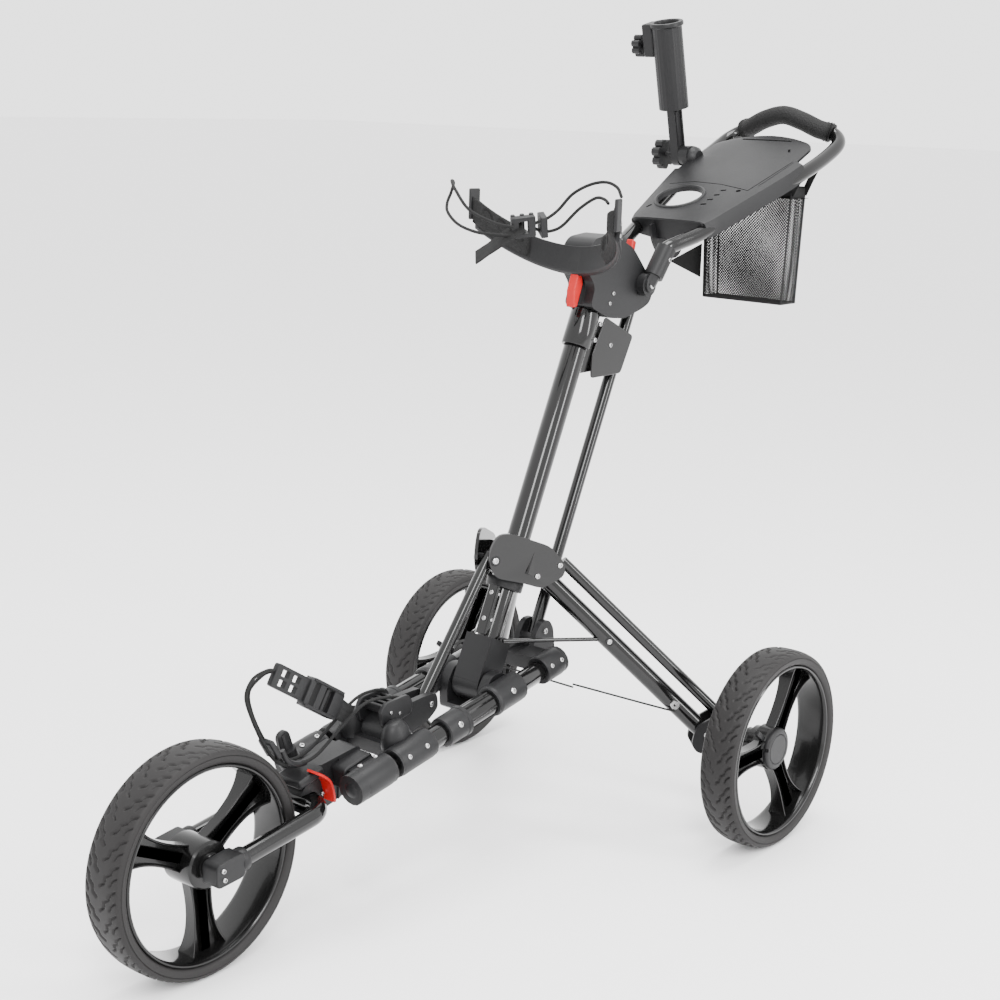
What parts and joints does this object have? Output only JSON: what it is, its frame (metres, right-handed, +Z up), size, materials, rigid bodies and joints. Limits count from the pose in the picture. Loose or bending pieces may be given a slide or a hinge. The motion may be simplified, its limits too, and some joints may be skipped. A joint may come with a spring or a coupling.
{
  "type": "golf push trolley",
  "caption": "Folding three-wheeled golf bag push trolley with tubular frame, bag cradle, elastic bag straps, score-card tray, net bag and umbrella holder.",
  "frame": {"origin": "centre of the bounding box at floor level, under the tyres", "axes": "+Z up; -Y is forwards, towards the front wheel; +X is the trolley's own left"},
  "size_m": [0.66, 1.4338, 1.1862],
  "materials": {
    "tyre_rubber": "solid foam-rubber tread, matt",
    "rim_gloss": "glossy black moulded rim",
    "steel": "zinc-plated axle and screws",
    "painted_tube": "gloss black painted tube",
    "moulded_plastic": "charcoal moulded plastic with a fine grain",
    "red_plastic": "red moulded levers",
    "foam": "black foam rubber",
    "net_fabric": "black diamond net with woven edging",
    "elastic_cord": "black braided elastic cord",
    "stay_cable": "black coated wire cable"
  },
  "bodies": {
    "frame": {"rail_left": "painted_tube", "rail_right": "painted_tube", "front_bracket": "moulded_plastic", "middle_bracket": "moulded_plastic", "base_bracket": "moulded_plastic", "rear_bracket": "moulded_plastic", "lower_bungee": "elastic_cord"},
    "fork": {"fork_tube": "painted_tube", "fork_end_left": "moulded_plastic", "fork_end_right": "moulded_plastic", "front_axle": "steel"},
    "front_wheel": {"front_tyre": "tyre_rubber", "front_rim": "rim_gloss"},
    "fork_latch": {"fork_latch": "red_plastic"},
    "tracking_knob": {"tracking_knob": "moulded_plastic"},
    "mast": {"mast_tube": "painted_tube", "mast_foot": "moulded_plastic"},
    "hub": {"hub_bracket": "moulded_plastic"},
    "front_strut": {"front_strut": "painted_tube"},
    "rear_strut": {"rear_strut": "painted_tube"},
    "head": {"head": "moulded_plastic", "mast_upper_tube": "painted_tube", "mast_sleeve": "painted_tube", "cradle_pad_left": "foam", "cradle_pad_right": "foam", "upper_bungee_left": "elastic_cord", "upper_bungee_right": "elastic_cord"},
    "front_lever": {"front_lever": "red_plastic"},
    "rear_lever": {"rear_lever": "red_plastic"},
    "handle": {"handle_tube": "painted_tube", "grip": "foam", "handle_socket_left": "moulded_plastic", "handle_socket_right": "moulded_plastic", "tray": "moulded_plastic", "net_bag": "net_fabric", "umbrella_knuckle": "moulded_plastic"},
    "umbrella": {"umbrella_arm": "moulded_plastic", "umbrella_tube": "moulded_plastic"},
    "umbrella_tilt_knob": {"umbrella_tilt_knob": "moulded_plastic"},
    "umbrella_clamp_knob": {"umbrella_clamp_knob": "moulded_plastic"},
    "leg_left": {"leg_left_tube": "painted_tube"},
    "leg_link_left": {"leg_left_link": "painted_tube"},
    "wheel_bracket_left": {"wheel_bracket_left": "moulded_plastic", "rear_left_axle": "steel"},
    "rear_left_wheel": {"rear_left_tyre": "tyre_rubber", "rear_left_rim": "rim_gloss", "rear_left_hub_cap": "moulded_plastic"},
    "rear_left_release_tab": {"rear_left_release_tab": "moulded_plastic"},
    "tie_rod_left": {"tie_rod_left": "painted_tube"},
    "stay_wire_left": {"stay_wire_left": "stay_cable"},
    "leg_right": {"leg_right_tube": "painted_tube"},
    "leg_link_right": {"leg_right_link": "painted_tube"},
    "wheel_bracket_right": {"wheel_bracket_right": "moulded_plastic", "rear_right_axle": "steel"},
    "rear_right_wheel": {"rear_right_tyre": "tyre_rubber", "rear_right_rim": "rim_gloss", "rear_right_hub_cap": "moulded_plastic"},
    "rear_right_release_tab": {"rear_right_release_tab": "moulded_plastic"},
    "tie_rod_right": {"tie_rod_right": "painted_tube"},
    "stay_wire_right": {"stay_wire_right": "stay_cable"}
  },
  "joints": [
    {"name": "fork_fold", "type": "hinge", "parent": "frame", "child": "fork", "pos_m": [0, -0.39087, 0.172], "axis": [1, 0, 0], "range_deg": [0, 105]},
    {"name": "front_wheel_spin", "type": "hinge", "parent": "fork", "child": "front_wheel", "pos_m": [0, -0.57087, 0.146], "axis": [1, 0, 0], "continuous": true},
    {"name": "fork_latch_press", "type": "hinge", "parent": "frame", "child": "fork_latch", "pos_m": [0.02, -0.35287, 0.164], "axis": [1, 0, 0], "range_deg": [-3, 0], "stiffness_Nm_per_rad": 0.5},
    {"name": "tracking_knob_turn", "type": "hinge", "parent": "frame", "child": "tracking_knob", "pos_m": [-0.032, -0.38287, 0.212], "axis": [0, -0.3489, 0.9371], "continuous": true},
    {"name": "mast_fold", "type": "hinge", "parent": "frame", "child": "mast", "pos_m": [0, -0.05187, 0.245], "axis": [1, 0, 0], "range_deg": [0, 75]},
    {"name": "hub_slide", "type": "slide", "parent": "mast", "child": "hub", "axis": [0, 0.4067, 0.9135], "range_m": [0, 0.14]},
    {"name": "front_strut_fold", "type": "hinge", "parent": "frame", "child": "front_strut", "pos_m": [0, -0.16587, 0.248], "axis": [1, 0, 0], "range_deg": [0, 84.5]},
    {"name": "rear_strut_fold", "type": "hinge", "parent": "frame", "child": "rear_strut", "pos_m": [0, 0.08213, 0.298], "axis": [1, 0, 0], "range_deg": [0, 75]},
    {"name": "head_fold", "type": "hinge", "parent": "mast", "child": "head", "pos_m": [0, 0.16045, 0.72187], "axis": [1, 0, 0], "range_deg": [-75, 0]},
    {"name": "front_lever_press", "type": "hinge", "parent": "head", "child": "front_lever", "pos_m": [0, 0.15908, 0.81224], "axis": [1, 0, 0], "range_deg": [-15, 0], "stiffness_Nm_per_rad": 0.2},
    {"name": "rear_lever_press", "type": "hinge", "parent": "head", "child": "rear_lever", "pos_m": [0, 0.266, 0.81389], "axis": [1, 0, 0], "range_deg": [-20, 0], "stiffness_Nm_per_rad": 0.2},
    {"name": "handle_fold", "type": "hinge", "parent": "head", "child": "handle", "pos_m": [0, 0.27913, 0.792], "axis": [1, 0, 0], "range_deg": [-10, 75]},
    {"name": "umbrella_tilt", "type": "hinge", "parent": "handle", "child": "umbrella", "pos_m": [-0.122, 0.57313, 0.972], "axis": [1, 0, 0], "range_deg": [-45, 30]},
    {"name": "umbrella_tilt_knob_turn", "type": "hinge", "parent": "umbrella", "child": "umbrella_tilt_knob", "pos_m": [-0.145, 0.57313, 0.972], "axis": [1, 0, 0], "continuous": true},
    {"name": "umbrella_clamp_knob_turn", "type": "hinge", "parent": "umbrella", "child": "umbrella_clamp_knob", "pos_m": [-0.166, 0.53055, 1.14277], "axis": [1, 0, 0], "continuous": true},
    {"name": "leg_left_fold", "type": "hinge", "parent": "hub", "child": "leg_left", "pos_m": [0.026, 0.06113, 0.388], "axis": [-0.699, 0.7151, 0], "range_deg": [0, 38]},
    {"name": "leg_link_left_fold", "type": "hinge", "parent": "hub", "child": "leg_link_left", "pos_m": [0.04924, 0.08385, 0.405], "axis": [-0.699, 0.7151, 0], "range_deg": [0, 38]},
    {"name": "wheel_bracket_left_fold", "type": "hinge", "parent": "leg_left", "child": "wheel_bracket_left", "pos_m": [0.204, 0.23513, 0.15], "axis": [-0.699, 0.7151, 0], "range_deg": [-38, 0]},
    {"name": "rear_left_wheel_spin", "type": "hinge", "parent": "wheel_bracket_left", "child": "rear_left_wheel", "pos_m": [0.3025, 0.25713, 0.146], "axis": [1, 0, 0], "continuous": true},
    {"name": "rear_left_release_press", "type": "slide", "parent": "rear_left_wheel", "child": "rear_left_release_tab", "axis": [0, 0.7833, -0.6216], "range_m": [0, 0.004], "stiffness_N_per_m": 300},
    {"name": "tie_rod_left_fold", "type": "hinge", "parent": "mast", "child": "tie_rod_left", "pos_m": [0.028, -0.02687, 0.309], "axis": [0.7705, -0.3772, 0.5138], "range_deg": [0, 36.5]},
    {"name": "stay_wire_left_fold", "type": "hinge", "parent": "leg_left", "child": "stay_wire_left", "pos_m": [0.16929, 0.2012, 0.19641], "axis": [-0.699, 0.7151, 0], "range_deg": [-38, 0]},
    {"name": "leg_right_fold", "type": "hinge", "parent": "hub", "child": "leg_right", "pos_m": [-0.026, 0.06113, 0.388], "axis": [-0.699, -0.7151, 0], "range_deg": [0, 38]},
    {"name": "leg_link_right_fold", "type": "hinge", "parent": "hub", "child": "leg_link_right", "pos_m": [-0.04924, 0.08385, 0.405], "axis": [-0.699, -0.7151, 0], "range_deg": [0, 38]},
    {"name": "wheel_bracket_right_fold", "type": "hinge", "parent": "leg_right", "child": "wheel_bracket_right", "pos_m": [-0.204, 0.23513, 0.15], "axis": [-0.699, -0.7151, 0], "range_deg": [-38, 0]},
    {"name": "rear_right_wheel_spin", "type": "hinge", "parent": "wheel_bracket_right", "child": "rear_right_wheel", "pos_m": [-0.3025, 0.25713, 0.146], "axis": [1, 0, 0], "continuous": true},
    {"name": "rear_right_release_press", "type": "slide", "parent": "rear_right_wheel", "child": "rear_right_release_tab", "axis": [0, 0.7833, -0.6216], "range_m": [0, 0.004], "stiffness_N_per_m": 300},
    {"name": "tie_rod_right_fold", "type": "hinge", "parent": "mast", "child": "tie_rod_right", "pos_m": [-0.028, -0.02687, 0.309], "axis": [0.7705, 0.3772, -0.5138], "range_deg": [0, 36.5]},
    {"name": "stay_wire_right_fold", "type": "hinge", "parent": "leg_right", "child": "stay_wire_right", "pos_m": [-0.16929, 0.2012, 0.19641], "axis": [-0.699, -0.7151, 0], "range_deg": [-38, 0]}
  ],
  "couplings": [
    {"joint": "hub_slide", "follows": "mast_fold", "m_per_rad": 0.10674},
    {"joint": "front_strut_fold", "follows": "mast_fold", "ratio": 1.124},
    {"joint": "rear_strut_fold", "follows": "mast_fold", "ratio": 1},
    {"joint": "head_fold", "follows": "mast_fold", "ratio": -1},
    {"joint": "leg_left_fold", "follows": "mast_fold", "ratio": 0.505},
    {"joint": "leg_link_left_fold", "follows": "mast_fold", "ratio": 0.505},
    {"joint": "wheel_bracket_left_fold", "follows": "mast_fold", "ratio": -0.505},
    {"joint": "tie_rod_left_fold", "follows": "mast_fold", "ratio": 0.48519},
    {"joint": "stay_wire_left_fold", "follows": "mast_fold", "ratio": -0.505},
    {"joint": "leg_right_fold", "follows": "mast_fold", "ratio": 0.505},
    {"joint": "leg_link_right_fold", "follows": "mast_fold", "ratio": 0.505},
    {"joint": "wheel_bracket_right_fold", "follows": "mast_fold", "ratio": -0.505},
    {"joint": "tie_rod_right_fold", "follows": "mast_fold", "ratio": 0.48519},
    {"joint": "stay_wire_right_fold", "follows": "mast_fold", "ratio": -0.505}
  ]
}
